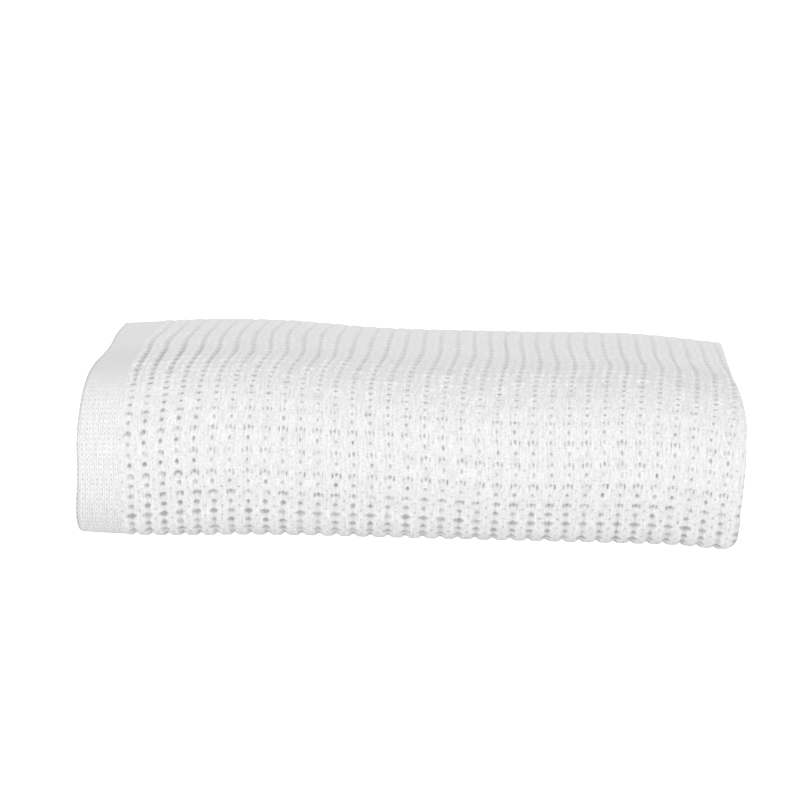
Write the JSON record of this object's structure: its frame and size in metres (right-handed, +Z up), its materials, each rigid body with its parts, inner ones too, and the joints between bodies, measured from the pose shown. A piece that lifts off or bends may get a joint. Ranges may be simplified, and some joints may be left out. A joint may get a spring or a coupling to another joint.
{
  "type": "bed runner",
  "caption": "Ribbed open-weave cotton bed runner, folded lengthwise and then back and forth into a flat pile with a rounded front.",
  "frame": {"origin": "middle of the base, on the surface that the folded pile lies on", "axes": "+X across the cloth from its border edges to its lengthwise fold, +Y from the rounded front to the back, +Z up"},
  "size_m": [0.3534, 0.1248, 0.0933],
  "materials": {
    "white_cotton": "matt, soft, ribbed open weave"
  },
  "bodies": {
    "root": {"runner_cloth": "white_cotton"}
  },
  "joints": []
}
